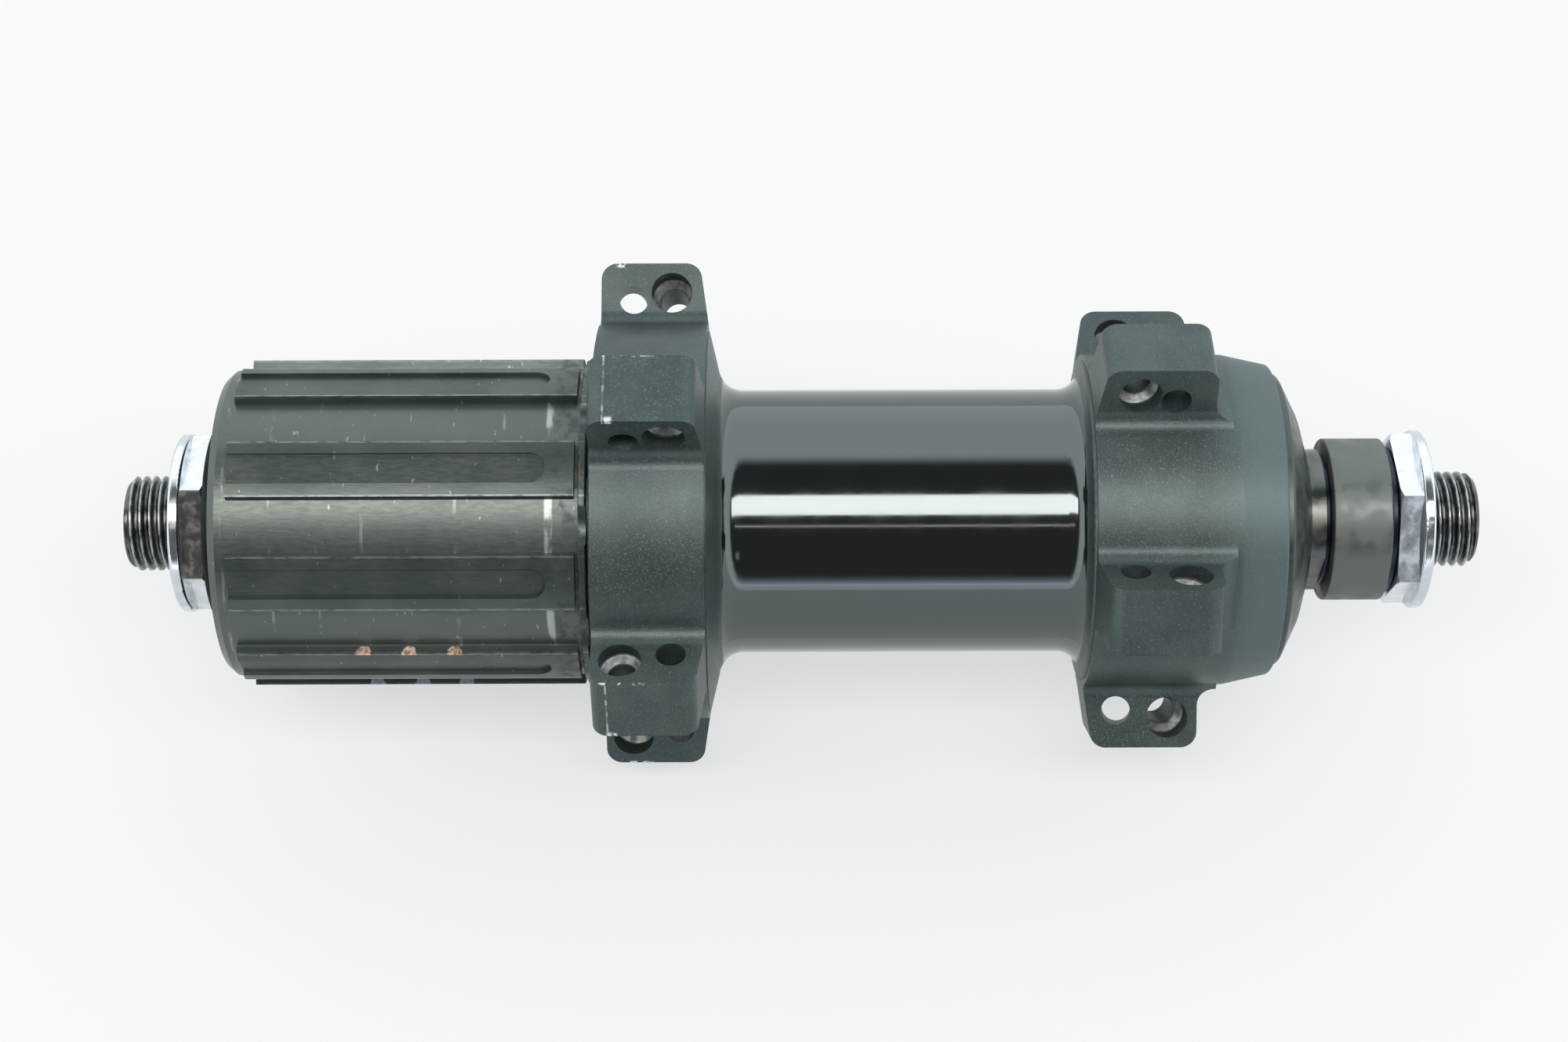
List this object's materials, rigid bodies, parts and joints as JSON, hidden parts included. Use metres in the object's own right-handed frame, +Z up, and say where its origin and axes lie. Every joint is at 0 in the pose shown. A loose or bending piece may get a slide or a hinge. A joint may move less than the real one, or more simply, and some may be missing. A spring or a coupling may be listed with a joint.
{
  "type": "bicycle rear hub",
  "caption": "Rear bicycle hub with lugged straight-pull flanges, waisted tube, splined freehub driver, cup-and-cone bearings and hollow threaded axle.",
  "frame": {"origin": "on the axle's axis, midway between the outer faces of the two locknuts", "axes": "+Y along the axle to the non-drive side, +Z up through a lug of the drive flange, +X across"},
  "size_m": [0.0538, 0.141, 0.0512],
  "materials": {
    "axle_steel": "dark oxide, oily",
    "chrome": "polished",
    "spacer_steel": "satin dark",
    "washer_steel": "dark",
    "cone_steel": "ground",
    "ball_steel": "polished",
    "rubber": "matt",
    "shell_black": "black anodised, flanges satin and tube polished",
    "cup_steel": "ground",
    "dust_cover_steel": "pressed, bright",
    "driver_steel": "dark satin with wear",
    "inner_steel": "machined",
    "cap_plastic": "matt",
    "spring_steel": "wire"
  },
  "bodies": {
    "axle_set": {"axle": "axle_steel", "drive_locknut": "chrome", "drive_spacer": "spacer_steel", "drive_lock_washer": "washer_steel", "drive_cone": "cone_steel", "drive_cone_boot": "rubber", "non_drive_cone": "cone_steel", "non_drive_cone_seal": "rubber", "non_drive_inner_washer": "washer_steel", "non_drive_spacer": "spacer_steel", "non_drive_lock_washer": "washer_steel", "non_drive_locknut": "chrome"},
    "hub_body": {"hub_shell": "shell_black", "non_drive_cup": "cup_steel", "non_drive_dust_cover": "dust_cover_steel", "freehub_inner_body": "inner_steel", "freehub_bearing_ring": "inner_steel", "freehub_dust_cap": "cap_plastic", "freehub_fixing_bolt": "inner_steel", "freehub_washer": "inner_steel", "pawl_spring": "spring_steel"},
    "driver": {"driver_body": "driver_steel", "driver_inner_seal": "rubber"},
    "drive_ball_set": {"drive_balls": "ball_steel"},
    "non_drive_ball_set": {"non_drive_balls": "ball_steel"},
    "outer_driver_ball_set": {"outer_driver_balls": "ball_steel"},
    "inner_driver_ball_set": {"inner_driver_balls": "ball_steel"},
    "pawl_a": {"pawl_a": "inner_steel"},
    "pawl_b": {"pawl_b": "inner_steel"}
  },
  "joints": [
    {"name": "hub_spin", "type": "hinge", "parent": "axle_set", "child": "hub_body", "pos_m": [0, 0, 0], "axis": [0, 1, 0], "continuous": true},
    {"name": "freewheel_spin", "type": "hinge", "parent": "hub_body", "child": "driver", "pos_m": [0, 0, 0], "axis": [0, 1, 0], "continuous": true},
    {"name": "drive_balls_roll", "type": "hinge", "parent": "axle_set", "child": "drive_ball_set", "pos_m": [0, 0, 0], "axis": [0, 1, 0], "continuous": true},
    {"name": "non_drive_balls_roll", "type": "hinge", "parent": "axle_set", "child": "non_drive_ball_set", "pos_m": [0, 0, 0], "axis": [0, 1, 0], "continuous": true},
    {"name": "outer_driver_balls_roll", "type": "hinge", "parent": "hub_body", "child": "outer_driver_ball_set", "pos_m": [0, 0, 0], "axis": [0, 1, 0], "continuous": true},
    {"name": "inner_driver_balls_roll", "type": "hinge", "parent": "hub_body", "child": "inner_driver_ball_set", "pos_m": [0, 0, 0], "axis": [0, 1, 0], "continuous": true},
    {"name": "pawl_a_rock", "type": "hinge", "parent": "hub_body", "child": "pawl_a", "pos_m": [0.0114, -0.034, 0], "axis": [0, -1, 0], "range_deg": [-11, 0], "stiffness_Nm_per_rad": 0.01, "springref_deg": -28.07},
    {"name": "pawl_b_rock", "type": "hinge", "parent": "hub_body", "child": "pawl_b", "pos_m": [-0.0114, -0.034, 0], "axis": [0, -1, 0], "range_deg": [-11, 0], "stiffness_Nm_per_rad": 0.01, "springref_deg": -28.07}
  ],
  "couplings": [
    {"joint": "drive_balls_roll", "follows": "hub_spin", "ratio": 0.619},
    {"joint": "non_drive_balls_roll", "follows": "hub_spin", "ratio": 0.619},
    {"joint": "outer_driver_balls_roll", "follows": "freewheel_spin", "ratio": 0.543},
    {"joint": "inner_driver_balls_roll", "follows": "freewheel_spin", "ratio": 0.543}
  ]
}
